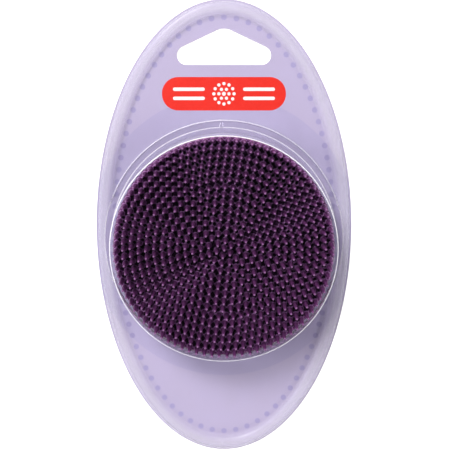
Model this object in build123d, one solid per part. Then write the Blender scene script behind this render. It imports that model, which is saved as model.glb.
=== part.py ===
from build123d import *
import math
import os

# Round rubber curry comb in its hanging retail pack, all sizes in millimetres.
# The pack lies on its back: +Z is up out of the card's front, +Y points to the hang hole,
# and the origin is the middle of the card's back face.

# Backing card: an ellipse with a delta hang hole near its top.
CARD_WIDTH = 98.0
CARD_HEIGHT = 174.9
CARD_THICKNESS = 0.6

# Delta hang hole: the outline round three circles, two at the ends of the flat side and one at the top.
HOLE_FLAT_Y = 63.3
HOLE_TOP_Y = 76.6
HOLE_HALF_WIDTH = 17.6
HOLE_END_RADIUS = 3.5
HOLE_TOP_RADIUS = 6.4
HOLE_CUT_DEPTH = 10.0

# Clear sheet: a flat flange on the card, a border bead and a round dome.
SHEET = 0.5
BEAD_INSET = 1.0
BEAD_WIDTH = 4.8
BEAD_HEIGHT = 2.4
BEAD_ROUND = 1.6
DOME_Y = -2.9
DOME_BASE_RADIUS = 45.3
DOME_TOP_RADIUS = 40.7
DOME_TOP_Z = 25.4
DOME_SHOULDER = 1.0
STEP_WIDTH = 2.6
STEP_HEIGHT = 2.2
RIB_X = -1.0
RIB_WIDTH = 0.8
RIB_PROUD = 0.3

# Bristle pad: a rubber disc with rings of conical pins in front and a skirt round the back plate.
# The comb lies a little lower in the dome than the dome's middle.
COMB_Y = -3.2
COMB_RADIUS = 40.3
PIN_LENGTH = 8.0
PIN_BASE_RADIUS = 1.2
PIN_TIP_RADIUS = 0.5
RING_PITCH = 2.79
RINGS = 14
FULL_HEX_RINGS = 8
EXTRA_PINS = 4
INNER_START = 81.3
OUTER_START = 79.4
TIP_CLEARANCE = 0.7
PAD_THICKNESS = 2.6
SKIRT_THICKNESS = 2.0
LIP_THICKNESS = 0.9
LIP_REACH = 2.4
PAD_EDGE_ROUND = 0.45

# Back plate: a stiff disc, recessed at the back for the strap's ends.
PLATE_THICKNESS = 3.6
PLATE_CLEARANCE = 0.1
RECESS_RADIUS = 33.0
RECESS_DEPTH = 1.8

# Hand strap: a springy band bowed over the back, with flat ends on the plate.
STRAP_WIDTH = 24.0
STRAP_THICKNESS = 1.4
STRAP_END_X = 29.0
STRAP_BEND_X = 20.5
STRAP_SHOULDER_RADIUS = 6.0
STRAP_CARD_GAP = 0.6

# Clamp bars and rivets that hold the strap's ends.
CLAMP_WIDTH = 7.0
CLAMP_LENGTH = 22.0
CLAMP_THICKNESS = 1.6
CLAMP_X = 25.0
CLAMP_CORNER = 1.5
CLAMP_EDGE_ROUND = 0.5
RIVET_Y = 7.5
RIVET_RADIUS = 1.55
RIVET_HOLE_RADIUS = 1.6
RIVET_HEAD_RADIUS = 2.8
RIVET_HEAD_THICKNESS = 0.8
POCKET_RADIUS = 3.0
POCKET_DEPTH = 1.0
CUT_PAST = 1.0

# Heights worked out from the sizes above, from the dome's top down.
FLANGE_TOP = CARD_THICKNESS + SHEET
TIP_Z = DOME_TOP_Z - SHEET - TIP_CLEARANCE
PAD_FACE_Z = TIP_Z - PIN_LENGTH
PLATE_TOP_Z = PAD_FACE_Z - PAD_THICKNESS
PLATE_BACK_Z = PLATE_TOP_Z - PLATE_THICKNESS
RECESS_Z = PLATE_BACK_Z + RECESS_DEPTH
CLAMP_TOP_Z = RECESS_Z - STRAP_THICKNESS
CLAMP_BACK_Z = CLAMP_TOP_Z - CLAMP_THICKNESS
PLATE_RADIUS = COMB_RADIUS - SKIRT_THICKNESS - PLATE_CLEARANCE

DOME_CENTRE = Pos(0, DOME_Y, 0)
COMB_CENTRE = Pos(0, COMB_Y, 0)


def oval(inset, bottom_z, height):
    """Upright solid on the card's ellipse, drawn in by inset."""
    outline = Ellipse(CARD_WIDTH / 2 - inset, CARD_HEIGHT / 2 - inset)
    return Pos(0, 0, bottom_z) * extrude(outline, height)


def hang_hole_cutter():
    """Solid that cuts the delta hang hole through the card and the flange."""
    end_x = HOLE_HALF_WIDTH - HOLE_END_RADIUS
    end_y = HOLE_FLAT_Y + HOLE_END_RADIUS
    with BuildSketch() as hole:
        with Locations((-end_x, end_y), (end_x, end_y)):
            Circle(HOLE_END_RADIUS)
        with Locations((0, HOLE_TOP_Y - HOLE_TOP_RADIUS)):
            Circle(HOLE_TOP_RADIUS)
        make_hull()
    return Pos(0, 0, -HOLE_CUT_DEPTH / 2) * extrude(hole.sketch, HOLE_CUT_DEPTH)


def border_ring(inset, width, bottom_z, height, rounding):
    """Oval ring that follows the card's edge, with its two top edges rounded."""
    ring = oval(inset, bottom_z, height) - oval(inset + width, bottom_z, height)
    top_edges = ring.edges().filter_by(GeomType.ELLIPSE).group_by(Axis.Z)[-1]
    return fillet(top_edges, rounding)


def turned(points):
    """Solid of revolution about Z from a closed outline of (radius, height) points."""
    outline = Polyline(*[(radius, 0, height) for radius, height in points], close=True)
    return revolve(make_face(outline), Axis.Z)


def dome_solid(inset, bottom_z):
    """Round dome, every wall drawn in by inset, from bottom_z to its flat top with a round shoulder."""
    base = DOME_BASE_RADIUS - inset
    step = base - STEP_WIDTH
    step_z = FLANGE_TOP + STEP_HEIGHT - inset
    top = DOME_TOP_RADIUS - inset
    top_z = DOME_TOP_Z - inset
    solid = turned([
        (0, bottom_z), (base, bottom_z), (base, step_z),
        (step, step_z), (top, top_z), (0, top_z),
    ])
    shoulder = solid.edges().filter_by(GeomType.CIRCLE).group_by(Axis.Z)[-1]
    return DOME_CENTRE * fillet(shoulder, DOME_SHOULDER - inset)


def backing_card():
    return oval(0, 0, CARD_THICKNESS) - hang_hole_cutter()


def bead_rib():
    """Short moulded rib across the border bead at the bottom of the oval."""
    bead = border_ring(
        BEAD_INSET - RIB_PROUD, BEAD_WIDTH + 2 * RIB_PROUD, FLANGE_TOP,
        BEAD_HEIGHT - SHEET + RIB_PROUD, BEAD_ROUND + RIB_PROUD,
    )
    return bead & (Pos(RIB_X, -CARD_HEIGHT / 2, 0) * Box(RIB_WIDTH, CARD_HEIGHT / 2, DOME_TOP_Z))


def step_rib():
    """Short moulded rib across the dome's base step, on the side of the hang hole."""
    top_z = FLANGE_TOP + STEP_HEIGHT + RIB_PROUD
    middle_y = DOME_BASE_RADIUS - STEP_WIDTH / 2
    return DOME_CENTRE * Pos(RIB_X, middle_y, (FLANGE_TOP + top_z) / 2) * Box(
        RIB_WIDTH, STEP_WIDTH + 2 * RIB_PROUD, top_z - FLANGE_TOP
    )


def front_blister():
    outside = oval(0, CARD_THICKNESS, SHEET)
    outside += border_ring(BEAD_INSET, BEAD_WIDTH, FLANGE_TOP, BEAD_HEIGHT - SHEET, BEAD_ROUND)
    outside += dome_solid(0, FLANGE_TOP)
    outside += [bead_rib(), step_rib()]
    bead_room = border_ring(
        BEAD_INSET + SHEET, BEAD_WIDTH - 2 * SHEET, CARD_THICKNESS, BEAD_HEIGHT - SHEET, BEAD_ROUND - SHEET
    )
    return outside - bead_room - dome_solid(SHEET, CARD_THICKNESS) - hang_hole_cutter()


def pin():
    """One pin, standing on the pad's face: a plain cone with a small flat tip."""
    return turned([(0, 0), (PIN_BASE_RADIUS, 0), (PIN_TIP_RADIUS, PIN_LENGTH), (0, PIN_LENGTH)])


def pin_places():
    """Centre pin, then rings that hold six more pins each, with a few extra in the outer ones."""
    places = [(0, 0)]
    for ring in range(1, RINGS + 1):
        inner = ring <= FULL_HEX_RINGS
        count = 6 * ring if inner else 6 * ring + EXTRA_PINS
        start = INNER_START if inner else OUTER_START
        for step in range(count):
            angle = math.radians(start + 360 * step / count)
            places.append((ring * RING_PITCH * math.cos(angle), ring * RING_PITCH * math.sin(angle)))
    return places


def bristle_pad():
    inside = COMB_RADIUS - SKIRT_THICKNESS
    lip_z = PLATE_BACK_Z - LIP_THICKNESS
    lip_radius = inside - LIP_REACH
    body = turned([
        (0, PLATE_TOP_Z), (inside, PLATE_TOP_Z), (inside, PLATE_BACK_Z), (lip_radius, PLATE_BACK_Z),
        (lip_radius, lip_z), (COMB_RADIUS, lip_z), (COMB_RADIUS, PAD_FACE_Z), (0, PAD_FACE_Z),
    ])
    outer_edges = body.edges().filter_by(GeomType.CIRCLE).group_by(SortBy.RADIUS)[-1]
    body = fillet(outer_edges.group_by(Axis.Z)[0], PAD_EDGE_ROUND)
    standing_pin = pin()
    pins = [Pos(x, y, PAD_FACE_Z) * standing_pin for x, y in pin_places()]
    return COMB_CENTRE * (body + pins)


def rivet_places():
    return [(side * CLAMP_X, end * RIVET_Y) for side in (-1, 1) for end in (-1, 1)]


def rivet_holes(bottom_z, thickness):
    """Cutters for the rivet holes of one piece, a little longer than the piece is thick."""
    cutter = Cylinder(RIVET_HOLE_RADIUS, thickness + 2 * CUT_PAST)
    return [Pos(x, y, bottom_z + thickness / 2) * cutter for x, y in rivet_places()]


def back_plate():
    """Disc with a recess at the back and a pocket over each rivet hole at the front."""
    disc = turned([
        (0, RECESS_Z), (RECESS_RADIUS, RECESS_Z), (RECESS_RADIUS, PLATE_BACK_Z),
        (PLATE_RADIUS, PLATE_BACK_Z), (PLATE_RADIUS, PLATE_TOP_Z), (0, PLATE_TOP_Z),
    ])
    pocket = Cylinder(POCKET_RADIUS, POCKET_DEPTH)
    pockets = [Pos(x, y, PLATE_TOP_Z - POCKET_DEPTH / 2) * pocket for x, y in rivet_places()]
    return COMB_CENTRE * (disc - pockets - rivet_holes(RECESS_Z, PLATE_TOP_Z - RECESS_Z))


def strap_side(offset):
    """One long edge of the strap's side view, offset from its middle line, from left end to right end."""
    flat_z = RECESS_Z - STRAP_THICKNESS / 2
    low_z = CARD_THICKNESS + STRAP_CARD_GAP + STRAP_THICKNESS / 2
    drop = flat_z - low_z
    turn = 2 * math.atan2(drop, STRAP_BEND_X)
    shoulder = STRAP_SHOULDER_RADIUS + offset
    shoulder_z = flat_z - STRAP_SHOULDER_RADIUS

    def on_shoulder(side, angle):
        x = STRAP_BEND_X - shoulder * math.sin(angle)
        return (side * x, shoulder_z + shoulder * math.cos(angle))

    bow_low = (0, low_z + offset)
    end_z = flat_z + offset
    left = Line((-STRAP_END_X, end_z), on_shoulder(-1, 0))
    left += ThreePointArc(on_shoulder(-1, 0), on_shoulder(-1, turn / 2), on_shoulder(-1, turn))
    middle = ThreePointArc(on_shoulder(-1, turn), bow_low, on_shoulder(1, turn))
    right = ThreePointArc(on_shoulder(1, turn), on_shoulder(1, turn / 2), on_shoulder(1, 0))
    right += Line(on_shoulder(1, 0), (STRAP_END_X, end_z))
    return left + middle + right


def hand_strap():
    half = STRAP_THICKNESS / 2
    flat_z = RECESS_Z - half
    ends = [Line((x, flat_z - half), (x, flat_z + half)) for x in (-STRAP_END_X, STRAP_END_X)]
    outline = make_face(strap_side(half) + ends[0] + strap_side(-half) + ends[1])
    band = extrude(Plane.XZ * outline, STRAP_WIDTH / 2, both=True)
    return COMB_CENTRE * (band - rivet_holes(CLAMP_TOP_Z, STRAP_THICKNESS))


def strap_clamp(side):
    outline = RectangleRounded(CLAMP_WIDTH, CLAMP_LENGTH, CLAMP_CORNER)
    bar = Pos(side * CLAMP_X, 0, CLAMP_BACK_Z) * extrude(outline, CLAMP_THICKNESS)
    bar = fillet(bar.edges().group_by(Axis.Z)[0], CLAMP_EDGE_ROUND)
    return COMB_CENTRE * (bar - rivet_holes(CLAMP_BACK_Z, CLAMP_THICKNESS))


def rivet():
    """Rivet from its head behind the clamp to its flat tail in the plate's pocket."""
    head_z = CLAMP_BACK_Z - RIVET_HEAD_THICKNESS
    tail_z = PLATE_TOP_Z - POCKET_DEPTH
    tail_top = tail_z + RIVET_HEAD_THICKNESS
    solid = turned([
        (0, head_z), (RIVET_HEAD_RADIUS, head_z), (RIVET_HEAD_RADIUS, CLAMP_BACK_Z),
        (RIVET_RADIUS, CLAMP_BACK_Z), (RIVET_RADIUS, tail_z), (RIVET_HEAD_RADIUS, tail_z),
        (RIVET_HEAD_RADIUS, tail_top), (0, tail_top),
    ])
    head_edge = solid.edges().filter_by(GeomType.CIRCLE).group_by(Axis.Z)[0]
    return fillet(head_edge, RIVET_HEAD_THICKNESS / 2)


def strap_rivets():
    one = rivet()
    return COMB_CENTRE * Compound([Pos(x, y, 0) * one for x, y in rivet_places()])


NODES = {
    "backing_card": backing_card(),
    "front_blister": front_blister(),
    "bristle_pad": bristle_pad(),
    "back_plate": back_plate(),
    "hand_strap": hand_strap(),
    "strap_clamp_left": strap_clamp(-1),
    "strap_clamp_right": strap_clamp(1),
    "strap_rivets": strap_rivets(),
}

os.makedirs("parts", exist_ok=True)
for name, shape in NODES.items():
    export_step(shape, f"parts/{name}.step")
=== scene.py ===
import math
import random

import bmesh
import bpy
import numpy as np
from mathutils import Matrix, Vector


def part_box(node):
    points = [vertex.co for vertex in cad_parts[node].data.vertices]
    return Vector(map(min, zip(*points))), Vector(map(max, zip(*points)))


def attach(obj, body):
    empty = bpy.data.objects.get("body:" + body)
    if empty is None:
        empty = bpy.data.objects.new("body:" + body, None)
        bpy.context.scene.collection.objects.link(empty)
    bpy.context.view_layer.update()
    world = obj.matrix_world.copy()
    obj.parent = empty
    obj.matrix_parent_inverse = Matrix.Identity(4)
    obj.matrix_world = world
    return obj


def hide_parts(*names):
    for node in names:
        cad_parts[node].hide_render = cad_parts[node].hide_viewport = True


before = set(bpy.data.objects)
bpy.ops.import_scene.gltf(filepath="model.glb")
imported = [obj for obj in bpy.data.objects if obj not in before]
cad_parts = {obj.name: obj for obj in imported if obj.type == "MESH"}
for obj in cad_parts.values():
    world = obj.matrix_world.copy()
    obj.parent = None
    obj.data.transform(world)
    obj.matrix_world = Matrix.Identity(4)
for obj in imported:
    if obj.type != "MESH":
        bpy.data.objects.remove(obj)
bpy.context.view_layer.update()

MM = 0.001

# Places and sizes read from the frame.
CARD_LOW, CARD_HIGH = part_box("backing_card")
SHEET_LOW, SHEET_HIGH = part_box("front_blister")
PAD_LOW, PAD_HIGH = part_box("bristle_pad")
PLATE_LOW, PLATE_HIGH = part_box("back_plate")
STRAP_LOW, STRAP_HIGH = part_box("hand_strap")
HALF_WIDTH = CARD_HIGH.x
HALF_HEIGHT = CARD_HIGH.y
CARD_TOP = CARD_HIGH.z
COMB_Y = (PAD_LOW.y + PAD_HIGH.y) / 2
COMB_RADIUS = (PAD_HIGH.x - PAD_LOW.x) / 2

# Clear sheet, as the CAD has it. It is drawn a little thinner, which leaves room for the ink below it.
SHEET = 0.5 * MM
INK_ROOM = 0.06 * MM
FLANGE_TOP = CARD_TOP + SHEET
BEAD_INSET = 1.0 * MM
BEAD_WIDTH = 4.8 * MM
BEAD_RISE = 1.9 * MM
BEAD_ROUND = 1.6 * MM
DOME_Y = -2.9 * MM
DOME_BASE = 45.3 * MM
STEP_WIDTH = 2.6 * MM
STEP_HEIGHT = 2.2 * MM
DOME_TOP = 40.7 * MM
DOME_SHOULDER = 1.0 * MM
RIB_X = -1.0 * MM
RIB_WIDTH = 0.8 * MM
RIB_PROUD = 0.3 * MM

# Roundings of the clear sheet where the dome meets its step, at the step's edge and at its foot.
DOME_FOOT_ROUND = 0.35 * MM
STEP_ROUND = 0.45 * MM
STEP_FOOT_ROUND = 0.6 * MM

# Finishes of the clear sheet, in the order of its material slots. CREST and FOLD are painted highlights,
# white lines at the dome's rim and feet; STEP_WALL is tinted darker as painted shade.
DOME, STEP_WALL, FLANGE, CREST, FOLD, SHOULDER = range(6)

# Delta hang hole: three circles and the lines that touch them.
HOLE_FLAT_Y = 63.3 * MM
HOLE_TOP_Y = 76.6 * MM
HOLE_HALF_WIDTH = 17.6 * MM
HOLE_END_RADIUS = 3.5 * MM
HOLE_TOP_RADIUS = 6.4 * MM

# Pins of the pad: rings of them, where each ring starts in degrees, and each pin's (height, radius)
# in mm up to its round tip. TIP_ANGLES, round the tip, and PIN_LEAN, the spread of the lean, are degrees.
PIN_LENGTH = 8.0 * MM
PIN_TIP_RADIUS = 0.42 * MM
RING_PITCH = 2.79 * MM
RINGS = 14
FULL_HEX_RINGS = 8
EXTRA_PINS = 4
INNER_START = 81.3
OUTER_START = 79.4
PAD_FACE = PAD_HIGH.z - PIN_LENGTH
PIN_SIDES = 12
PIN_FLARE = [(-0.3, 1.58), (0.5, 1.3), (1.1, 1.12), (1.9, 0.98), (3.1, 0.83), (4.9, 0.64), (7.4, 0.45)]
TIP_ANGLES = (25, 50, 72)
PIN_LEAN = 0.6

# Low ridges that join the feet of pins no further apart than WEB_REACH.
WEB_HEIGHT = 1.4 * MM
WEB_HALF_WIDTH = 0.65 * MM
WEB_REACH = 3.3 * MM

# Rubber pad below its pins: raised rim, rounded back edge and the lip that wraps the plate.
RIM_HEIGHT = 1.1 * MM
RIM_WIDTH = 1.3 * MM
RIM_FILLET = 0.3 * MM
EDGE_ROUND = 0.45 * MM
LIP_ROUND = 0.4 * MM
LIP_REACH = 2.3 * MM
PLATE_GAP = 0.1 * MM

# Hand strap: its thickness, where its bow starts, its shoulder's radius and the grooves along it.
STRAP_THICKNESS = 1.4 * MM
STRAP_HALF_WIDTH = 12.0 * MM
STRAP_BEND_X = 20.5 * MM
STRAP_SHOULDER = 6.0 * MM
GROOVE_PITCH = 5.0 * MM
GROOVE_DEPTH = 0.22 * MM

# Print on the card.
DISC_Y = -2.4 * MM
DISC_HALF_WIDTH = 51.7 * MM
DISC_HALF_HEIGHT = 54.6 * MM
DOT_COUNT = 84
DOT_Y = 0.5 * MM
DOT_HALF_WIDTH = 41.8 * MM
DOT_HALF_HEIGHT = 80.3 * MM
DOT_RADIUS = 1.08 * MM
LABEL_Y = 52.5 * MM
LABEL_WIDTH = 46.7 * MM
LABEL_HEIGHT = 12.5 * MM
LABEL_CORNER = 0.49 * LABEL_HEIGHT
MARK_RINGS = [(1.9 * MM, 6), (3.8 * MM, 12)]
MARK_RADIUS = 0.62 * MM
MIDDLE_MARK_RADIUS = 0.75 * MM
BAR_X = 13.2 * MM
BAR_Y = 1.7 * MM
BAR_LENGTH = 12.0 * MM
BAR_WIDTH = 1.3 * MM
BAR_CORNER = 0.64 * MM
INK = 0.02 * MM

# Smooth shading stops at edges that turn more than this.
SHARP_TURN = math.radians(40)


# ---------------------------------------------------------------- mesh helpers

def mesh_object(name, vertices, faces, smooth=True):
    """Linked object from points and faces, with doubles merged and normals turned outward."""
    mesh = bpy.data.meshes.new(name)
    mesh.from_pydata([tuple(v) for v in vertices], [], faces)
    mesh.validate()
    mesh.update()
    obj = bpy.data.objects.new(name, mesh)
    bpy.context.scene.collection.objects.link(obj)
    bm = bmesh.new()
    bm.from_mesh(mesh)
    bmesh.ops.remove_doubles(bm, verts=bm.verts, dist=1e-6)
    bmesh.ops.dissolve_degenerate(bm, edges=bm.edges, dist=1e-7)
    bmesh.ops.recalc_face_normals(bm, faces=bm.faces)
    bm.to_mesh(mesh)
    bm.free()
    mesh.polygons.foreach_set("use_smooth", [smooth] * len(mesh.polygons))
    return obj


def ring_faces(rows, columns):
    """Quads between rows of points that each go round once."""
    faces = []
    for i in range(rows - 1):
        for j in range(columns):
            k = (j + 1) % columns
            faces.append((i * columns + j, i * columns + k, (i + 1) * columns + k, (i + 1) * columns + j))
    return faces


def turned(name, profile, centre, sides):
    """Surface of revolution about an upright axis through centre, from (radius, height) points."""
    vertices = []
    for radius, height in profile:
        for j in range(sides):
            a = math.tau * j / sides
            vertices.append((centre[0] + radius * math.cos(a), centre[1] + radius * math.sin(a), height))
    return mesh_object(name, vertices, ring_faces(len(profile), sides))


def prism(name, outline, low, high, smooth=False):
    """Closed solid from a flat outline, between two heights."""
    count = len(outline)
    vertices = [(x, y, low) for x, y in outline] + [(x, y, high) for x, y in outline]
    faces = [tuple(reversed(range(count))), tuple(range(count, 2 * count))]
    faces += [(j, (j + 1) % count, count + (j + 1) % count, count + j) for j in range(count)]
    return mesh_object(name, vertices, faces, smooth)


def apply_modifiers(obj):
    """Give the object the mesh that its modifiers make, and drop them."""
    graph = bpy.context.evaluated_depsgraph_get()
    mesh = bpy.data.meshes.new_from_object(obj.evaluated_get(graph))
    obj.modifiers.clear()
    old = obj.data
    obj.data = mesh
    bpy.data.meshes.remove(old)


def cut_out(obj, cutter):
    """Subtract the cutter, which is removed, and keep the new edges sharp."""
    modifier = obj.modifiers.new("cut", "BOOLEAN")
    modifier.operation = "DIFFERENCE"
    modifier.solver = "EXACT"
    modifier.object = cutter
    apply_modifiers(obj)
    bpy.data.objects.remove(cutter)
    obj.data.set_sharp_from_angle(angle=SHARP_TURN)


def join(name, objects):
    """One object from several; the faces keep their material indices, and the new mesh starts without
    materials.
    """
    bm = bmesh.new()
    for obj in objects:
        bm.from_mesh(obj.data)
    mesh = bpy.data.meshes.new(name)
    bm.to_mesh(mesh)
    bm.free()
    for obj in objects:
        bpy.data.objects.remove(obj)
    joined = bpy.data.objects.new(name, mesh)
    bpy.context.scene.collection.objects.link(joined)
    return joined


def paint(obj, *materials):
    """Replace the object's material slots."""
    obj.data.materials.clear()
    for material in materials:
        obj.data.materials.append(material)


def arc(centre, radius, start, end, steps):
    """Points on an arc, angles in degrees."""
    points = []
    for i in range(steps + 1):
        a = math.radians(start + (end - start) * i / steps)
        points.append((centre[0] + radius * math.cos(a), centre[1] + radius * math.sin(a)))
    return points


def hole_outline():
    """The delta hole: two end circles and a top circle, joined by the lines that touch them."""
    end_x = HOLE_HALF_WIDTH - HOLE_END_RADIUS
    end_y = HOLE_FLAT_Y + HOLE_END_RADIUS
    top_y = HOLE_TOP_Y - HOLE_TOP_RADIUS
    reach = math.hypot(end_x, top_y - end_y)
    centre_line = math.atan2(top_y - end_y, end_x)
    slope = math.degrees(centre_line + math.asin((HOLE_TOP_RADIUS - HOLE_END_RADIUS) / reach))
    right = arc((end_x, end_y), HOLE_END_RADIUS, -90, 90 - slope, 14)
    top = arc((0, top_y), HOLE_TOP_RADIUS, 90 - slope, 90 + slope, 12)
    left = arc((-end_x, end_y), HOLE_END_RADIUS, 90 + slope, 270, 14)
    return right + top + left


def rounded_rectangle(centre, width, height, corner, steps=10):
    """Outline from the lower right corner round, with steps points on each corner's arc."""
    points = []
    for k, (sx, sy) in enumerate([(1, -1), (1, 1), (-1, 1), (-1, -1)]):
        middle = (centre[0] + sx * (width / 2 - corner), centre[1] + sy * (height / 2 - corner))
        points += arc(middle, corner, -90 + 90 * k, 90 * k, steps)
    return points


def circle(centre, radius, sides=28):
    """Outline of a round dot."""
    return arc(centre, radius, 0, 360 - 360 / sides, sides - 1)


# ------------------------------------------------------------ material helpers

class Shader:
    """A new material with short ways to add and join its nodes. Places and lengths are in metres."""

    def __init__(self, name):
        self.material = bpy.data.materials.new(name)
        self.material.use_nodes = True
        self.tree = self.material.node_tree
        self.tree.nodes.clear()
        self.output = self.add("ShaderNodeOutputMaterial")
        self.place = self.add("ShaderNodeTexCoord").outputs["Object"]

    def add(self, kind, **settings):
        node = self.tree.nodes.new(kind)
        for key, value in settings.items():
            setattr(node, key, value)
        return node

    def link(self, source, target):
        self.tree.links.new(source, target)

    def principled(self, **sockets):
        """Principled shader on the output, with sockets set by name, spaces written as underscores."""
        node = self.add("ShaderNodeBsdfPrincipled")
        for key, value in sockets.items():
            node.inputs[key.replace("_", " ")].default_value = value
        self.link(node.outputs[0], self.output.inputs["Surface"])
        return node

    def noise(self, scale, detail=4.0, roughness=0.55, stretch=None):
        """Noise at so many cycles a metre, drawn out along axes whose stretch is below 1."""
        node = self.add("ShaderNodeTexNoise")
        node.inputs["Scale"].default_value = scale
        node.inputs["Detail"].default_value = detail
        node.inputs["Roughness"].default_value = roughness
        source = self.place
        if stretch:
            mapping = self.add("ShaderNodeMapping")
            mapping.inputs["Scale"].default_value = stretch
            self.link(self.place, mapping.inputs["Vector"])
            source = mapping.outputs[0]
        self.link(source, node.inputs["Vector"])
        return node.outputs["Fac"]

    def span(self, value, low, high, to_low, to_high):
        """The value's range low to high taken to to_low to to_high, and held beyond it."""
        node = self.add("ShaderNodeMapRange")
        self.link(value, node.inputs["Value"])
        for key, number in zip(("From Min", "From Max", "To Min", "To Max"), (low, high, to_low, to_high)):
            node.inputs[key].default_value = number
        return node.outputs[0]

    def math(self, operation, first, second=None):
        """A Math node on sockets or numbers."""
        node = self.add("ShaderNodeMath", operation=operation)
        for socket, value in zip(node.inputs, (first, second)):
            if value is None:
                continue
            if isinstance(value, (int, float)):
                socket.default_value = value
            else:
                self.link(value, socket)
        return node.outputs[0]

    def mix(self, factor, first, second):
        """Colour between two colours, each a tuple or a socket."""
        node = self.add("ShaderNodeMix", data_type="RGBA")
        if isinstance(factor, (int, float)):
            node.inputs["Factor"].default_value = factor
        else:
            self.link(factor, node.inputs["Factor"])
        for socket, value in ((node.inputs[6], first), (node.inputs[7], second)):
            if isinstance(value, tuple):
                socket.default_value = (*value, 1.0)
            else:
                self.link(value, socket)
        return node.outputs[2]

    def bump(self, height, target, strength, distance):
        node = self.add("ShaderNodeBump")
        node.inputs["Strength"].default_value = strength
        node.inputs["Distance"].default_value = distance
        self.link(height, node.inputs["Height"])
        self.link(node.outputs[0], target.inputs["Normal"])

    def axes(self):
        """The x, y and z sockets of the point being shaded."""
        node = self.add("ShaderNodeSeparateXYZ")
        self.link(self.place, node.inputs[0])
        return node.outputs

    def edge_distance(self):
        """About how far in from the card's oval edge a point lies."""
        x, y, _ = self.axes()
        value, slope = None, None
        for place, half in ((x, HALF_WIDTH), (y, HALF_HEIGHT)):
            part = self.math("MULTIPLY", place, 1 / half)
            square = self.math("MULTIPLY", part, part)
            steep = self.math("MULTIPLY", square, 4 / half ** 2)
            value = square if value is None else self.math("ADD", value, square)
            slope = steep if slope is None else self.math("ADD", slope, steep)
        return self.math("DIVIDE", self.math("SUBTRACT", 1.0, value), self.math("SQRT", slope))

    def in_disc(self):
        """1 inside the printed disc of the card, 0 outside; the disc is a little taller than wide."""
        x, y, _ = self.axes()
        across = self.math("MULTIPLY", x, 1 / DISC_HALF_WIDTH)
        along = self.math("MULTIPLY", self.math("SUBTRACT", y, DISC_Y), 1 / DISC_HALF_HEIGHT)
        across_squared = self.math("MULTIPLY", across, across)
        along_squared = self.math("MULTIPLY", along, along)
        radius = self.math("SQRT", self.math("ADD", across_squared, along_squared))
        edge = 0.002
        return self.span(radius, 1 - edge, 1 + edge, 1.0, 0.0)


def card_print_material():
    """Coated card printed lavender, with a darker disc behind the comb."""
    s = Shader("card_print")
    light, dark = (0.519, 0.455, 0.638), (0.465, 0.411, 0.617)
    colour = s.mix(s.in_disc(), light, dark)
    clouds = s.span(s.noise(90, 3), 0.3, 0.7, 0.0, 0.22)
    colour = s.mix(clouds, colour, (0.56, 0.50, 0.75))
    grain = s.span(s.noise(5200, 3), 0.3, 0.7, 0.0, 0.07)
    colour = s.mix(grain, colour, (0.34, 0.28, 0.52))
    shader = s.principled(Specular_IOR_Level=0.35)
    s.link(colour, shader.inputs["Base Color"])
    s.link(s.span(s.noise(700, 3), 0.3, 0.7, 0.42, 0.56), shader.inputs["Roughness"])
    s.bump(s.noise(2600, 4), shader, 0.10, 0.05 * MM)
    return s.material


def board_material():
    """Bare grey-white board: the card's back and cut edge."""
    s = Shader("card_board")
    fibres = s.span(s.noise(900, 6, 0.7, (1.0, 0.35, 1.0)), 0.3, 0.75, 0.0, 1.0)
    colour = s.mix(fibres, (0.66, 0.64, 0.61), (0.80, 0.78, 0.75))
    specks = s.span(s.noise(1500, 2), 0.68, 0.76, 0.0, 0.5)
    colour = s.mix(specks, colour, (0.42, 0.38, 0.36))
    shader = s.principled(Specular_IOR_Level=0.2)
    s.link(colour, shader.inputs["Base Color"])
    s.link(s.span(fibres, 0.0, 1.0, 0.78, 0.92), shader.inputs["Roughness"])
    s.bump(s.noise(1800, 5, 0.7), shader, 0.25, 0.06 * MM)
    return s.material


def dot_material():
    """Grey-lavender ink of the border's dots, a little deeper where it lies on the disc."""
    s = Shader("dot_ink")
    colour = s.mix(s.in_disc(), (0.400, 0.352, 0.590), (0.355, 0.310, 0.540))
    colour = s.mix(s.span(s.noise(3200, 3), 0.3, 0.7, 0.0, 0.15), colour, (0.52, 0.47, 0.72))
    shader = s.principled(Roughness=0.5, Specular_IOR_Level=0.35)
    s.link(colour, shader.inputs["Base Color"])
    return s.material


def ink_material(name, colour, worn):
    """Flat printed ink with a faint grain of the card below it."""
    s = Shader(name)
    mixed = s.mix(s.span(s.noise(2400, 4), 0.35, 0.7, 0.0, 0.30), colour, worn)
    shader = s.principled(Specular_IOR_Level=0.4)
    s.link(mixed, shader.inputs["Base Color"])
    s.link(s.span(s.noise(800, 3), 0.3, 0.7, 0.32, 0.46), shader.inputs["Roughness"])
    s.bump(s.noise(2600, 4), shader, 0.10, 0.05 * MM)
    return s.material


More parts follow.
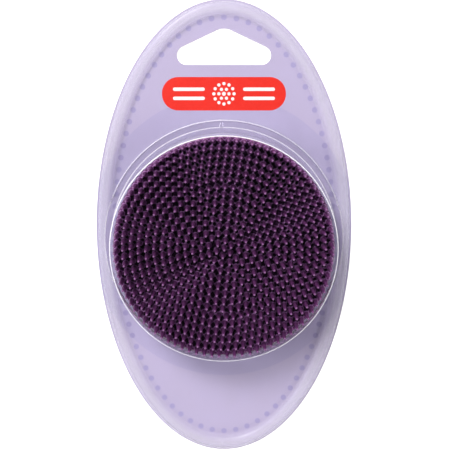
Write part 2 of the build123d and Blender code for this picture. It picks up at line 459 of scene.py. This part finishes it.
def clear_material(name, tint, roughness, index=1.7, bead_highlight_veil=0.0):
    """Thin clear plastic: what isn't reflected goes straight through.

    Only outward faces reflect, so that the sheet's two faces don't reflect twice. With a veil amount,
    a whitish diffuse veil on the border bead is a painted highlight for the bead's soft reflection.
    """
    s = Shader(name)
    fresnel = s.add("ShaderNodeFresnel")
    fresnel.inputs["IOR"].default_value = index
    outward = s.math("SUBTRACT", 1.0, s.add("ShaderNodeNewGeometry").outputs["Backfacing"])
    through = s.add("ShaderNodeBsdfTransparent")
    through.inputs["Color"].default_value = (tint, tint, tint, 1.0)
    gloss = s.add("ShaderNodeBsdfGlossy")
    gloss.inputs["Color"].default_value = (1.0, 1.0, 1.0, 1.0)
    gloss.inputs["Roughness"].default_value = roughness
    bump = s.add("ShaderNodeBump")
    bump.inputs["Strength"].default_value = 0.03
    bump.inputs["Distance"].default_value = 0.25 * MM
    s.link(s.noise(120, 2), bump.inputs["Height"])
    for node in (fresnel, gloss):
        s.link(bump.outputs[0], node.inputs["Normal"])
    mix = s.add("ShaderNodeMixShader")
    s.link(s.math("MULTIPLY", fresnel.outputs[0], outward), mix.inputs[0])
    s.link(through.outputs[0], mix.inputs[1])
    s.link(gloss.outputs[0], mix.inputs[2])
    if not bead_highlight_veil:
        s.link(mix.outputs[0], s.output.inputs["Surface"])
        return s.material
    # Painted highlight: a whitish diffuse veil along the border bead stands in for its soft reflection.
    bead_highlight_paint = s.add("ShaderNodeBsdfDiffuse")
    bead_highlight_paint.inputs["Color"].default_value = (0.86, 0.85, 0.88, 1.0)
    middle = BEAD_INSET + BEAD_WIDTH / 2
    far = s.math("ABSOLUTE", s.math("SUBTRACT", s.edge_distance(), middle))
    band = s.span(far, 0.2 * MM, 0.75 * BEAD_WIDTH, bead_highlight_veil, 0.0)
    veil = s.add("ShaderNodeMixShader")
    s.link(band, veil.inputs[0])
    s.link(mix.outputs[0], veil.inputs[1])
    s.link(bead_highlight_paint.outputs[0], veil.inputs[2])
    s.link(veil.outputs[0], s.output.inputs["Surface"])
    return s.material


def edge_material(name, alpha):
    """Painted highlight: a white, partly see-through line that stands in for the bright reflection along
    the plastic's tight corners.
    """
    s = Shader(name)
    shader = s.principled(Alpha=alpha, Specular_IOR_Level=0.6)
    highlight_noise = s.span(s.noise(500, 3), 0.3, 0.7, 0.0, 1.0)
    s.link(s.mix(highlight_noise, (0.84, 0.83, 0.87), (0.96, 0.95, 0.98)), shader.inputs["Base Color"])
    s.link(s.span(highlight_noise, 0.0, 1.0, 0.22, 0.34), shader.inputs["Roughness"])
    return s.material


def rubber_material(name, colour, deep, pale, grain=1400, pins=False):
    """Satin moulded rubber with soft mottling, faint dust and a fine grain.

    On pins, colour by height paints light and shade: a painted highlight at the tip and where their feet
    and webs meet, and painted shade in the pits between.
    """
    s = Shader(name)
    mottle = s.span(s.noise(260, 4), 0.3, 0.7, 0.0, 1.0)
    mixed = s.mix(mottle, colour, deep)
    if pins:
        height = s.axes()[2]
        # Painted highlight: paler rubber up to a little above the web crests, where the feet and webs
        # catch light.
        foot = s.span(height, PAD_FACE + WEB_HEIGHT, PAD_FACE + WEB_HEIGHT + 0.6 * MM, 1.0, 0.0)
        mixed = s.mix(foot, mixed, (0.460, 0.220, 0.500))
        # Painted shade: nearly black rubber low down in the pits between the webs.
        painted_pit_shade = s.span(height, PAD_FACE + WEB_HEIGHT - 0.7 * MM, PAD_FACE + WEB_HEIGHT - 0.3 * MM, 1.0, 0.0)
        mixed = s.mix(painted_pit_shade, mixed, (0.045, 0.007, 0.050))
        # Painted highlight: paler rubber on the last half millimetre of each tip.
        tip = s.span(height, PAD_HIGH.z - 0.5 * MM, PAD_HIGH.z - 0.12 * MM, 0.0, 1.0)
        mixed = s.mix(tip, mixed, (0.290, 0.125, 0.300))
    dust = s.span(s.noise(1900, 5, 0.7), 0.58, 0.78, 0.0, 0.35)
    mixed = s.mix(dust, mixed, pale)
    shader = s.principled(Specular_IOR_Level=0.25)
    s.link(mixed, shader.inputs["Base Color"])
    s.link(s.span(s.noise(600, 3), 0.3, 0.7, 0.42, 0.58), shader.inputs["Roughness"])
    s.bump(s.noise(grain * 2, 3), shader, 0.15, 0.04 * MM)
    return s.material


def plastic_material(name, colour, deep):
    """Moulded plastic with a spark-eroded grain and light rubbing marks."""
    s = Shader(name)
    mixed = s.mix(s.span(s.noise(180, 4), 0.3, 0.7, 0.0, 1.0), colour, deep)
    marks = s.span(s.noise(400, 5, 0.6, (1.0, 0.06, 1.0)), 0.62, 0.80, 0.0, 0.25)
    mixed = s.mix(marks, mixed, (0.45, 0.33, 0.48))
    shader = s.principled(Specular_IOR_Level=0.45)
    s.link(mixed, shader.inputs["Base Color"])
    s.link(s.span(s.noise(900, 3), 0.3, 0.7, 0.40, 0.55), shader.inputs["Roughness"])
    s.bump(s.noise(3000, 2), shader, 0.30, 0.05 * MM)
    return s.material


def rivet_material():
    """Plated steel with fine turning marks and dull spots."""
    s = Shader("rivet_steel")
    spots = s.span(s.noise(1500, 5, 0.65), 0.45, 0.75, 0.0, 1.0)
    mixed = s.mix(spots, (0.66, 0.66, 0.69), (0.48, 0.46, 0.46))
    shader = s.principled(Metallic=1.0)
    s.link(mixed, shader.inputs["Base Color"])
    s.link(s.span(spots, 0.0, 1.0, 0.22, 0.42), shader.inputs["Roughness"])
    s.bump(s.noise(2600, 3, 0.5, (1.0, 0.1, 1.0)), shader, 0.12, 0.03 * MM)
    return s.material


# ---------------------------------------------------------------------- card

def oval_outline(inset, sides=360):
    """The card's edge drawn in by inset."""
    outline = []
    for j in range(sides):
        a = math.tau * j / sides
        outline.append(((HALF_WIDTH - inset) * math.cos(a), (HALF_HEIGHT - inset) * math.sin(a)))
    return outline


def make_card():
    """Card with a softened cut edge; its printed face is the second material."""
    edge = 0.10 * MM
    levels = [(edge, CARD_LOW.z), (0.0, CARD_LOW.z + edge), (0.0, CARD_TOP - edge), (edge, CARD_TOP)]
    vertices = [(x, y, z) for inset, z in levels for x, y in oval_outline(inset)]
    sides = len(vertices) // len(levels)
    faces = ring_faces(len(levels), sides)
    faces += [tuple(reversed(range(sides))), tuple(range((len(levels) - 1) * sides, len(levels) * sides))]
    card = mesh_object("printed_card", vertices, faces, smooth=False)
    cutter = prism("hole_cutter", hole_outline(), -CARD_TOP, 3 * CARD_TOP)
    cut_out(card, cutter)
    paint(card, board_material(), card_print_material())
    for face in card.data.polygons:
        face.material_index = int(face.normal.z > 0.9)
    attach(card, "card")
    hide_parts("backing_card")


def evenly_on_oval(half_width, half_height, count, start):
    """Points spaced evenly by length along an oval."""
    turn = np.linspace(0, math.tau, 3601)
    fine = np.stack([half_width * np.cos(turn), half_height * np.sin(turn)], axis=1)
    lengths = np.concatenate([[0], np.cumsum(np.hypot(*np.diff(fine, axis=0).T))])
    wanted = (start + np.arange(count) / count) % 1.0 * lengths[-1]
    return list(zip(np.interp(wanted, lengths, fine[:, 0]), np.interp(wanted, lengths, fine[:, 1])))


def make_dots():
    """Border of printed dots, evenly spaced from one at the top of the oval."""
    places = evenly_on_oval(DOT_HALF_WIDTH, DOT_HALF_HEIGHT, DOT_COUNT, 0.25)
    dots = [prism("dot", circle((x, y + DOT_Y), DOT_RADIUS), CARD_TOP, CARD_TOP + INK) for x, y in places]
    border = join("border_dots", dots)
    paint(border, dot_material())
    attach(border, "card")


def make_label():
    """Red header panel with a plain pictogram: a round comb's pins, with two bars on each side."""
    top = CARD_TOP + INK
    pill = rounded_rectangle((0, LABEL_Y), LABEL_WIDTH, LABEL_HEIGHT, LABEL_CORNER)
    panel = prism("header_panel", pill, CARD_TOP, top)
    paint(panel, ink_material("red_ink", (0.86, 0.030, 0.018), (0.70, 0.018, 0.012)))
    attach(panel, "card")
    marks = [circle((0, LABEL_Y), MIDDLE_MARK_RADIUS)]
    for ring, count in MARK_RINGS:
        for k in range(count):
            a = math.tau * k / count
            marks.append(circle((ring * math.cos(a), LABEL_Y + ring * math.sin(a)), MARK_RADIUS))
    for side in (-1, 1):
        for row in (-1, 1):
            middle = (side * BAR_X, LABEL_Y + row * BAR_Y)
            marks.append(rounded_rectangle(middle, BAR_LENGTH, BAR_WIDTH, BAR_CORNER, steps=6))
    pictogram = join("header_pictogram", [prism("mark", m, top, top + INK) for m in marks])
    paint(pictogram, ink_material("white_ink", (0.92, 0.91, 0.90), (0.84, 0.80, 0.82)))
    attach(pictogram, "card")


# --------------------------------------------------------------- clear sheet

def dome_profile():
    """(radius, height) of the dome's outer face, from its middle out to the flange."""
    top_z = SHEET_HIGH.z
    step_z = FLANGE_TOP + STEP_HEIGHT
    step_inner = DOME_BASE - STEP_WIDTH
    corner = DOME_TOP - DOME_SHOULDER
    foot, edge, skirt = DOME_FOOT_ROUND, STEP_ROUND, STEP_FOOT_ROUND
    profile = [(corner * k / 5, top_z) for k in range(5)]
    profile += arc((corner, top_z - DOME_SHOULDER), DOME_SHOULDER, 90, 2.6, 12)
    wall_top, wall_low = np.array(profile[-1]), np.array((step_inner, step_z + foot))
    profile += [tuple(wall_top + (wall_low - wall_top) * t) for t in (0.25, 0.5, 0.75, 1.0)]
    profile += arc((step_inner + foot, step_z + foot), foot, 200, 270, 4)
    profile += arc((DOME_BASE - edge, step_z - edge), edge, 90, 0, 5)
    profile += [(DOME_BASE, FLANGE_TOP + 1.0 * MM)]
    profile += arc((DOME_BASE + skirt, FLANGE_TOP + skirt), skirt, 180, 270, 5)
    return profile


def bead_height(inset):
    """Height of the border bead's outer face above the flange, at a distance in from the card's edge."""
    inside = np.minimum(inset - BEAD_INSET, BEAD_INSET + BEAD_WIDTH - inset)
    step = BEAD_RISE - BEAD_ROUND
    slope = np.clip(BEAD_ROUND - inside, 0, BEAD_ROUND)
    height = step + np.sqrt(BEAD_ROUND ** 2 - slope ** 2)
    return np.where(inside < 0, 0.0, height)


def oval_inset(x, y):
    """How far in from the card's edge a point is, on the family of ovals drawn in by a distance."""
    inset = np.zeros_like(x)
    for _ in range(12):
        a, b = HALF_WIDTH - inset, HALF_HEIGHT - inset
        value = (x / a) ** 2 + (y / b) ** 2 - 1
        slope = 2 * x ** 2 / a ** 3 + 2 * y ** 2 / b ** 3 + 1e-9
        inset = np.clip(inset - value / slope, -1 * MM, HALF_WIDTH * 0.9)
    return inset


def ray_to_oval(directions, inset):
    """Distance from the dome's axis to the oval drawn in by inset, along each direction."""
    a, b = HALF_WIDTH - inset, HALF_HEIGHT - inset
    dx, dy = directions
    qa = (dx / a) ** 2 + (dy / b) ** 2
    qb = 2 * DOME_Y * dy / b ** 2
    qc = (DOME_Y / b) ** 2 - 1
    return (-qb + np.sqrt(qb ** 2 - 4 * qa * qc)) / (2 * qa)


def sheet_part(face):
    """The finish that a face of the sheet has, by how far it lies from the dome's axis.

    Painted highlights make pale lines at the crest, at the dome's foot and at the base's foot; the step
    wall's darker tint is painted shade.
    """
    x, y, z = face.center
    radius = math.hypot(x, y - DOME_Y)
    if z > SHEET_HIGH.z - DOME_SHOULDER and radius > DOME_TOP - DOME_SHOULDER:
        on_crest = DOME_TOP - 0.40 * MM < radius < DOME_TOP - 0.1 * MM
        return CREST if on_crest else SHOULDER
    past_step = radius - (DOME_BASE - STEP_WIDTH)
    near_step = z < FLANGE_TOP + STEP_HEIGHT + 0.2 * MM
    past_base = radius - DOME_BASE
    if 0.04 * MM < past_base < 0.40 * MM or (near_step and 0.04 * MM < past_step < 0.34 * MM):
        return FOLD
    if past_base > 0.4 * MM:
        return FLANGE
    return STEP_WALL if past_base > -0.46 * MM else DOME


def ray_angles():
    """Directions of the net's rays, with a few more of them across each moulded rib."""
    angles = list(np.arange(384) * math.tau / 384)
    step_y = DOME_BASE - STEP_WIDTH / 2
    bead_y = -HALF_HEIGHT + BEAD_INSET + BEAD_WIDTH / 2 - DOME_Y
    for reach in (step_y, bead_y):
        for k in (-1, -0.75, -0.5, 0, 0.5, 0.75, 1):
            angles.append(math.atan2(reach, RIB_X + k * RIB_WIDTH) % math.tau)
    return np.array(sorted(angles))


def make_blister():
    """One clear sheet: dome, step, flange and border bead on a net of rays from the dome's axis."""
    angles = ray_angles()
    sides = len(angles)
    directions = (np.cos(angles), np.sin(angles))
    profile = dome_profile()
    rings = [(np.full(sides, r), np.full(sides, z)) for r, z in profile]
    base_end = profile[-1][0]
    far = ray_to_oval(directions, BEAD_INSET + BEAD_WIDTH + 0.3 * MM)
    for t in (0.15, 0.4, 0.7, 1.0):
        rings.append((np.maximum(base_end, base_end + (far - base_end) * t), np.full(sides, FLANGE_TOP)))
    lip = 0.15 * MM
    bead = [BEAD_WIDTH + lip]
    bead += [BEAD_WIDTH - step for step in bead_steps()]
    bead += list(reversed(bead_steps())) + [-lip]
    for step in bead:
        inset = BEAD_INSET + step
        rings.append((np.maximum(base_end, ray_to_oval(directions, inset)), np.full(sides, FLANGE_TOP)))
    rings.append((ray_to_oval(directions, 0.0), np.full(sides, FLANGE_TOP)))
    radius = np.array([r for r, _ in rings])
    x = radius * directions[0]
    y = radius * directions[1] + DOME_Y
    z = np.array([h for _, h in rings])
    inset = oval_inset(x, y)
    z = np.maximum(z, FLANGE_TOP + bead_height(inset))
    on_step = (radius > DOME_BASE - STEP_WIDTH) & (radius < DOME_BASE + RIB_PROUD) & (y > 0)
    on_bead = (inset > BEAD_INSET) & (inset < BEAD_INSET + BEAD_WIDTH) & (y < 0)
    across = np.clip((RIB_WIDTH - np.abs(x - RIB_X)) / (RIB_WIDTH / 2), 0, 1)
    z += RIB_PROUD * across * (on_step | on_bead)
    vertices = np.stack([x, y, z], axis=-1).reshape(-1, 3)
    sheet = mesh_object("clear_blister", vertices, ring_faces(len(rings), sides))
    thicken(sheet, SHEET - INK_ROOM)
    cutter = prism("hole_cutter", hole_outline(), 0, 4 * FLANGE_TOP)
    cut_out(sheet, cutter)
    paint(
        sheet,
        clear_material("sheet_dome", 0.985, 0.05),
        # The step wall's darker tint is painted shade: the dark line where the wall is seen edge-on. Its
        # rougher, weaker gloss is a finish.
        clear_material("sheet_wall", 0.93, 0.30, index=1.3),
        clear_material("sheet_flange", 0.985, 0.30, index=1.42, bead_highlight_veil=0.16),
        # sheet_edge and sheet_fold are painted highlights: white lines at the dome's crest and at the feet
        # of the dome and its step.
        edge_material("sheet_edge", 0.8),
        edge_material("sheet_fold", 0.28),
        clear_material("sheet_shoulder", 0.985, 0.30, index=1.25),
    )
    for face in sheet.data.polygons:
        face.material_index = sheet_part(face)
    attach(sheet, "blister")
    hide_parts("front_blister")


def bead_steps():
    """Distances in from the bead's foot, closer together where its side turns."""
    turns = (0, 12, 24, 36, 50, 65, 80)
    return [BEAD_ROUND * (1 - math.cos(math.radians(a))) for a in turns] + [BEAD_ROUND]


def thicken(obj, thickness):
    """Make a solid sheet of a surface, which becomes its upper face."""
    bm = bmesh.new()
    bm.from_mesh(obj.data)
    top = max(bm.faces, key=lambda f: f.calc_center_median().z)
    if top.normal.z < 0:
        bmesh.ops.reverse_faces(bm, faces=bm.faces)
    bm.to_mesh(obj.data)
    bm.free()
    modifier = obj.modifiers.new("thickness", "SOLIDIFY")
    modifier.thickness = thickness
    modifier.offset = -1
    apply_modifiers(obj)


# ---------------------------------------------------------------------- comb

def pin_places():
    """Centre pin, then rings that hold six more pins each, with a few extra in the outer ones."""
    places = [(0.0, 0.0)]
    for ring in range(1, RINGS + 1):
        inner = ring <= FULL_HEX_RINGS
        count = 6 * ring if inner else 6 * ring + EXTRA_PINS
        start = INNER_START if inner else OUTER_START
        for step in range(count):
            a = math.radians(start + 360 * step / count)
            places.append((ring * RING_PITCH * math.cos(a), ring * RING_PITCH * math.sin(a)))
    return places


def pin_profile():
    """(height, radius) up one pin: flared foot, tapering shaft and round tip."""
    levels = [(h * MM, r * MM) for h, r in PIN_FLARE]
    tip_centre = PIN_LENGTH - PIN_TIP_RADIUS
    for a in map(math.radians, TIP_ANGLES):
        levels.append((tip_centre + PIN_TIP_RADIUS * math.sin(a), PIN_TIP_RADIUS * math.cos(a)))
    return levels


def add_webs(vertices, faces):
    """Low ridges that join the feet of neighbouring pins, with a pit between every three."""
    places = [Vector((x, y + COMB_Y, PAD_FACE)) for x, y in pin_places()]
    for i, start in enumerate(places):
        for end in places[i + 1:]:
            along = end - start
            if along.length > WEB_REACH:
                continue
            side = Vector((-along.y, along.x, 0)).normalized() * WEB_HALF_WIDTH
            base = len(vertices)
            for middle in (start, end):
                vertices.append(tuple(middle + side))
                vertices.append(tuple(middle + Vector((0, 0, WEB_HEIGHT))))
                vertices.append(tuple(middle - side))
            faces += [(base, base + 1, base + 2), (base + 5, base + 4, base + 3)]
            for j in range(3):
                k = (j + 1) % 3
                faces.append((base + j, base + 3 + j, base + 3 + k, base + k))


def make_pins():
    """Every pin and web in one mesh, each pin leaning a little its own way."""
    rng = random.Random(14)
    levels = pin_profile()
    vertices, faces = [], []
    for px, py in pin_places():
        base = len(vertices)
        lean_x = math.radians(rng.gauss(0, PIN_LEAN))
        lean_y = math.radians(rng.gauss(0, PIN_LEAN))
        turn = rng.random() * math.tau
        for height, radius in levels:
            for j in range(PIN_SIDES):
                a = turn + math.tau * j / PIN_SIDES
                x = px + lean_x * max(height, 0) + radius * math.cos(a)
                y = py + lean_y * max(height, 0) + radius * math.sin(a)
                vertices.append((x, y + COMB_Y, PAD_FACE + height))
        rows = ring_faces(len(levels), PIN_SIDES)
        faces += [tuple(base + i for i in face) for face in rows]
        apex = len(vertices)
        tip = (px + lean_x * PIN_LENGTH, py + lean_y * PIN_LENGTH + COMB_Y, PAD_FACE + PIN_LENGTH)
        vertices.append(tip)
        last = base + (len(levels) - 1) * PIN_SIDES
        faces += [(last + j, last + (j + 1) % PIN_SIDES, apex) for j in range(PIN_SIDES)]
        faces.append(tuple(base + j for j in reversed(range(PIN_SIDES))))
    add_webs(vertices, faces)
    mesh = bpy.data.meshes.new("pins")
    mesh.from_pydata(vertices, [], faces)
    mesh.update()
    pins = bpy.data.objects.new("pins", mesh)
    bpy.context.scene.collection.objects.link(pins)
    return pins


def make_pad():
    """Pad body turned about the comb's axis, with its raised rim, skirt and lip, and the pins on it."""
    low, inside, lip_in = PAD_LOW.z, PLATE_HIGH.x + PLATE_GAP, PLATE_HIGH.x - LIP_REACH
    rim_in = COMB_RADIUS - RIM_WIDTH
    rim_round = RIM_WIDTH / 2
    plate_back = PLATE_LOW.z
    profile = [(0.0, PAD_FACE), (20 * MM, PAD_FACE)]
    profile += [(rim_in - RIM_FILLET, PAD_FACE), (rim_in, PAD_FACE + RIM_FILLET)]
    profile += arc((rim_in + rim_round, PAD_FACE + RIM_HEIGHT - rim_round), rim_round, 180, 0, 8)
    profile += [(COMB_RADIUS, PAD_FACE - 3 * MM), (COMB_RADIUS, low + 0.5 * MM)]
    profile += arc((COMB_RADIUS - EDGE_ROUND, low + EDGE_ROUND), EDGE_ROUND, 0, -90, 4)
    profile += arc((lip_in + LIP_ROUND, low + LIP_ROUND), LIP_ROUND, 270, 180, 4)
    profile += [(lip_in, plate_back), (inside, plate_back), (inside, PLATE_HIGH.z), (0.0, PLATE_HIGH.z)]
    body = turned("pad_body", profile, (0, COMB_Y), 192)
    body_faces = len(body.data.polygons)
    pad = join("pin_pad", [body, make_pins()])
    pad.data.polygons.foreach_set("use_smooth", [True] * len(pad.data.polygons))
    colours = ((0.145, 0.038, 0.145), (0.115, 0.027, 0.120), (0.28, 0.12, 0.28))
    # The pins' material paints a highlight on the tips and web crests and shade in the pits.
    paint(pad, rubber_material("pad_rubber", *colours), rubber_material("pin_rubber", *colours, pins=True))
    for face in pad.data.polygons:
        x, y, z = face.center
        between_pins = z > PAD_FACE - 0.1 * MM and math.hypot(x, y - COMB_Y) < rim_in
        face.material_index = int(face.index >= body_faces or between_pins)
    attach(pad, "comb")
    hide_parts("bristle_pad")


def strap_path():
    """Middle line of the strap in (x, z): flat ends, two shoulders and the bow between them."""
    end_x = (STRAP_HIGH.x - STRAP_LOW.x) / 2
    half_thick = STRAP_THICKNESS / 2
    flat_z, low_z = STRAP_HIGH.z - half_thick, STRAP_LOW.z + half_thick
    turn = 2 * math.atan2(flat_z - low_z, STRAP_BEND_X)
    bow = STRAP_BEND_X / math.sin(turn) - STRAP_SHOULDER
    degrees = math.degrees(turn)
    right = [(end_x, flat_z), (end_x - 4 * MM, flat_z)]
    right += arc((STRAP_BEND_X, flat_z - STRAP_SHOULDER), STRAP_SHOULDER, 90, 90 + degrees, 10)
    middle = arc((0, low_z + bow), bow, 270 + degrees, 270 - degrees, 36)[1:-1]
    left = [(-x, z) for x, z in reversed(right)]
    return right + middle + left


def make_strap():
    """Elastic hand strap with rounded edges and five shallow grooves along each face."""
    path = strap_path()
    half_width, half_thick = STRAP_HALF_WIDTH, STRAP_THICKNESS / 2
    stations = 64
    section = []
    for k in range(stations + 1):
        y = half_width * (2 * k / stations - 1)
        edge = min(1.0, max(0.0, half_width - abs(y)) / half_thick)
        groove = GROOVE_DEPTH * max(0.0, math.cos(math.tau * y / GROOVE_PITCH)) ** 4 * edge
        section.append((y, half_thick * math.sqrt(1 - (1 - edge) ** 2) - groove))
    lower = [(y, -t) for y, t in reversed(section)][1:-1]
    loop = section + lower
    vertices = []
    for i, (x, z) in enumerate(path):
        before, after = path[max(i - 1, 0)], path[min(i + 1, len(path) - 1)]
        tangent = Vector((after[0] - before[0], after[1] - before[1])).normalized()
        for y, t in loop:
            vertices.append((x + tangent.y * t, y + COMB_Y, z - tangent.x * t))
    sides = len(loop)
    faces = ring_faces(len(path), sides)
    faces += [tuple(reversed(range(sides))), tuple(range((len(path) - 1) * sides, len(path) * sides))]
    strap = mesh_object("palm_strap", vertices, faces)
    colours = ((0.085, 0.030, 0.095), (0.060, 0.020, 0.070), (0.22, 0.15, 0.24))
    paint(strap, rubber_material("strap_rubber", *colours, grain=900))
    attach(strap, "comb")
    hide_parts("hand_strap")


def finish_cad_nodes():
    """The hard pieces of the comb keep their CAD shape and get their materials."""
    plastic = plastic_material("plate_plastic", (0.175, 0.060, 0.190), (0.135, 0.045, 0.150))
    for name in ("back_plate", "strap_clamp_left", "strap_clamp_right"):
        paint(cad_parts[name], plastic)
    paint(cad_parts["strap_rivets"], rivet_material())


# --------------------------------------------------- stage, light and camera

def make_floor():
    """Plain white paper that glows faintly, so that it stays white in the fill light."""
    bpy.ops.mesh.primitive_plane_add(size=4.0, location=(0, 0, CARD_LOW.z - 0.02 * MM))
    floor = bpy.context.object
    floor.name = "floor"
    s = Shader("floor_paper")
    shader = s.principled(Roughness=0.9, Specular_IOR_Level=0.0, Emission_Strength=0.5)
    shader.inputs["Emission Color"].default_value = (1.0, 1.0, 1.0, 1.0)
    clouds = s.span(s.noise(40, 2), 0.3, 0.7, 0.0, 1.0)
    s.link(s.mix(clouds, (0.93, 0.93, 0.93), (0.95, 0.95, 0.95)), shader.inputs["Base Color"])
    paint(floor, s.material)


def area_light(name, place, size, watts):
    """White rectangular light that points at the middle of the card's back."""
    data = bpy.data.lights.new(name, "AREA")
    data.shape = "RECTANGLE"
    data.size, data.size_y = size
    data.energy = watts
    light = bpy.data.objects.new(name, data)
    light.location = place
    light.rotation_euler = (-Vector(place)).to_track_quat("-Z", "Y").to_euler()
    bpy.context.scene.collection.objects.link(light)


def make_light():
    """Four soft lights round the object, and a world that is white low down and dark overhead."""
    area_light("key", (-0.50, 0.86, 1.04), (0.45, 0.45), 17.0)
    area_light("left", (-0.95, 0.10, 0.88), (0.45, 0.45), 5.5)
    area_light("right", (0.95, -0.10, 0.80), (0.60, 0.60), 4.5)
    area_light("front", (0.10, -1.10, 0.62), (0.80, 0.45), 3.0)
    world = bpy.data.worlds.new("studio")
    bpy.context.scene.world = world
    world.use_nodes = True
    tree = world.node_tree
    tree.nodes.clear()
    coordinates = tree.nodes.new("ShaderNodeTexCoord")
    split = tree.nodes.new("ShaderNodeSeparateXYZ")
    ramp = tree.nodes.new("ShaderNodeValToRGB")
    background = tree.nodes.new("ShaderNodeBackground")
    output = tree.nodes.new("ShaderNodeOutputWorld")
    ramp.color_ramp.elements[0].position = 0.35
    ramp.color_ramp.elements[0].color = (1, 1, 1, 1)
    ramp.color_ramp.elements[1].position = 0.72
    ramp.color_ramp.elements[1].color = (0.02, 0.02, 0.02, 1)
    background.inputs["Strength"].default_value = 1.0
    tree.links.new(coordinates.outputs["Generated"], split.inputs[0])
    tree.links.new(split.outputs["Z"], ramp.inputs[0])
    tree.links.new(ramp.outputs[0], background.inputs[0])
    tree.links.new(background.outputs[0], output.inputs[0])


def make_camera():
    """Camera nearly straight above, a little towards the hang hole, and near enough to show depth."""
    data = bpy.data.cameras.new("camera")
    data.sensor_width = 36.0
    data.lens = 63.03
    data.shift_y = -0.0556
    camera = bpy.data.objects.new("camera", data)
    camera.location = (0.4 * MM, 47.4 * MM, 300.0 * MM)
    camera.rotation_euler = (-math.radians(6.7), 0, 0)
    bpy.context.scene.collection.objects.link(camera)
    bpy.context.scene.camera = camera
    bpy.context.scene.view_settings.view_transform = "Standard"


make_card()
make_dots()
make_label()
make_blister()
make_pad()
make_strap()
finish_cad_nodes()
make_floor()
make_light()
make_camera()
